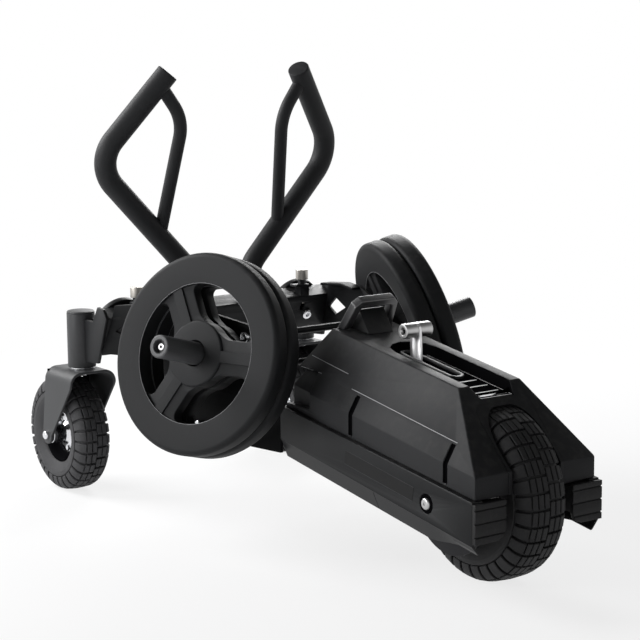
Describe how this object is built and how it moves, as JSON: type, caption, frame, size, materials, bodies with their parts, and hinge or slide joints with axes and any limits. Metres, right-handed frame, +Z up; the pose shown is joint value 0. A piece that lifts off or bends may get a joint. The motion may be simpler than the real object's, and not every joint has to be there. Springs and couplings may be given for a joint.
{
  "type": "push sled",
  "caption": "Three-wheeled push sled with a hooded, magnetically braked front wheel, rear swivel casters, twin push handles and canted horns that hold slide-on weight plates.",
  "frame": {"origin": "on the floor under the middle of the sled's length and width", "axes": "+X towards the front wheel, +Y to the sled's left, +Z up"},
  "size_m": [1.5084, 0.8822, 1.0246],
  "materials": {
    "frame_paint": "satin black powder coat",
    "dark_paint": "matte charcoal powder coat",
    "hood_shell": "fine moulded grain",
    "bumper_rubber": "matte",
    "tyre_rubber": "matte block tread",
    "plate_iron": "matte rubber-like coat",
    "bright_metal": "polished",
    "satin_steel": "satin",
    "light_grip": "light grey satin",
    "bronze_bush": "plain",
    "brake_copper": "plain"
  },
  "bodies": {
    "frame": {"rear_beam": "frame_paint", "end_bracket_right": "frame_paint", "end_bracket_left": "frame_paint", "head_tube_right": "dark_paint", "head_tube_left": "dark_paint", "head_bush_right": "satin_steel", "head_bush_left": "satin_steel", "side_member_right": "frame_paint", "side_member_left": "frame_paint", "side_plate_right": "frame_paint", "side_plate_left": "frame_paint", "cross_plate": "frame_paint", "belly_pan": "frame_paint", "bumper_right": "bumper_rubber", "bumper_left": "bumper_rubber", "hood": "hood_shell", "slot_ring": "hood_shell", "lift_handle": "light_grip", "hand_guard": "hood_shell", "horn_right": "frame_paint", "horn_left": "frame_paint", "push_handle_right": "frame_paint", "push_handle_left": "frame_paint", "handle_brace_right": "frame_paint", "handle_brace_left": "frame_paint", "index_disc_right": "frame_paint", "index_disc_left": "frame_paint", "index_bolt_right": "bright_metal", "index_bolt_left": "bright_metal", "pin_holder_right": "frame_paint", "pin_holder_left": "frame_paint", "wheel_axle": "bright_metal", "lever_shaft": "satin_steel", "tie_bar_upper": "bright_metal", "tie_bar_lower": "bright_metal", "tie_bar_rear": "bright_metal"},
    "front_wheel": {"front_tyre": "tyre_rubber", "front_rim": "satin_steel", "wheel_hub": "satin_steel", "brake_disc": "brake_copper"},
    "brake_lever": {"lever": "bright_metal", "lever_grip": "bright_metal", "magnet_yoke": "satin_steel"},
    "pin_right": {"pull_pin_right": "bright_metal"},
    "pin_left": {"pull_pin_left": "bright_metal"},
    "swivel_right": {"caster_fork_right": "dark_paint", "caster_stem_right": "dark_paint", "caster_axle_right": "bright_metal"},
    "swivel_left": {"caster_fork_left": "dark_paint", "caster_stem_left": "dark_paint", "caster_axle_left": "bright_metal"},
    "caster_wheel_right": {"caster_tyre_right": "tyre_rubber", "caster_rim_right": "bright_metal"},
    "caster_wheel_left": {"caster_tyre_left": "tyre_rubber", "caster_rim_left": "bright_metal"},
    "outer_plate_right": {"plate_outer_right": "plate_iron"},
    "outer_plate_left": {"plate_outer_left": "plate_iron"},
    "inner_plate_right": {"plate_inner_right": "plate_iron"},
    "inner_plate_left": {"plate_inner_left": "plate_iron"}
  },
  "joints": [
    {"name": "front_wheel_spin", "type": "hinge", "parent": "frame", "child": "front_wheel", "pos_m": [0.57291, 0, 0.18131], "axis": [0, 1, 0], "continuous": true},
    {"name": "brake_lever_swing", "type": "hinge", "parent": "frame", "child": "brake_lever", "pos_m": [0.34191, 0, 0.24], "axis": [0, 1, 0], "range_deg": [-4, 30]},
    {"name": "pull_pin_right_lift", "type": "slide", "parent": "frame", "child": "pin_right", "axis": [0, 0, 1], "range_m": [0, 0.012], "stiffness_N_per_m": 600, "springref_m": -0.005},
    {"name": "pull_pin_left_lift", "type": "slide", "parent": "frame", "child": "pin_left", "axis": [0, 0, 1], "range_m": [0, 0.012], "stiffness_N_per_m": 600, "springref_m": -0.005},
    {"name": "caster_right_swivel", "type": "hinge", "parent": "frame", "child": "swivel_right", "pos_m": [-0.54309, -0.32, 0.3], "axis": [0, 0, 1], "continuous": true},
    {"name": "caster_left_swivel", "type": "hinge", "parent": "frame", "child": "swivel_left", "pos_m": [-0.54309, 0.32, 0.3], "axis": [0, 0, 1], "continuous": true},
    {"name": "caster_right_spin", "type": "hinge", "parent": "swivel_right", "child": "caster_wheel_right", "pos_m": [-0.61509, -0.32, 0.13912], "axis": [0, 1, 0], "continuous": true},
    {"name": "caster_left_spin", "type": "hinge", "parent": "swivel_left", "child": "caster_wheel_left", "pos_m": [-0.61509, 0.32, 0.13912], "axis": [0, 1, 0], "continuous": true},
    {"name": "inner_plate_right_slide", "type": "slide", "parent": "frame", "child": "inner_plate_right", "axis": [0.3021, -0.9136, 0.2723], "range_m": [0, 0.21]},
    {"name": "outer_plate_right_slide", "type": "slide", "parent": "frame", "child": "outer_plate_right", "axis": [0.3021, -0.9136, 0.2723], "range_m": [0, 0.21]},
    {"name": "inner_plate_left_slide", "type": "slide", "parent": "frame", "child": "inner_plate_left", "axis": [0.3021, 0.9136, 0.2723], "range_m": [0, 0.21]},
    {"name": "outer_plate_left_slide", "type": "slide", "parent": "frame", "child": "outer_plate_left", "axis": [0.3021, 0.9136, 0.2723], "range_m": [0, 0.21]}
  ],
  "couplings": [
    {"joint": "outer_plate_right_slide", "follows": "inner_plate_right_slide", "ratio": 1},
    {"joint": "outer_plate_left_slide", "follows": "inner_plate_left_slide", "ratio": 1}
  ]
}
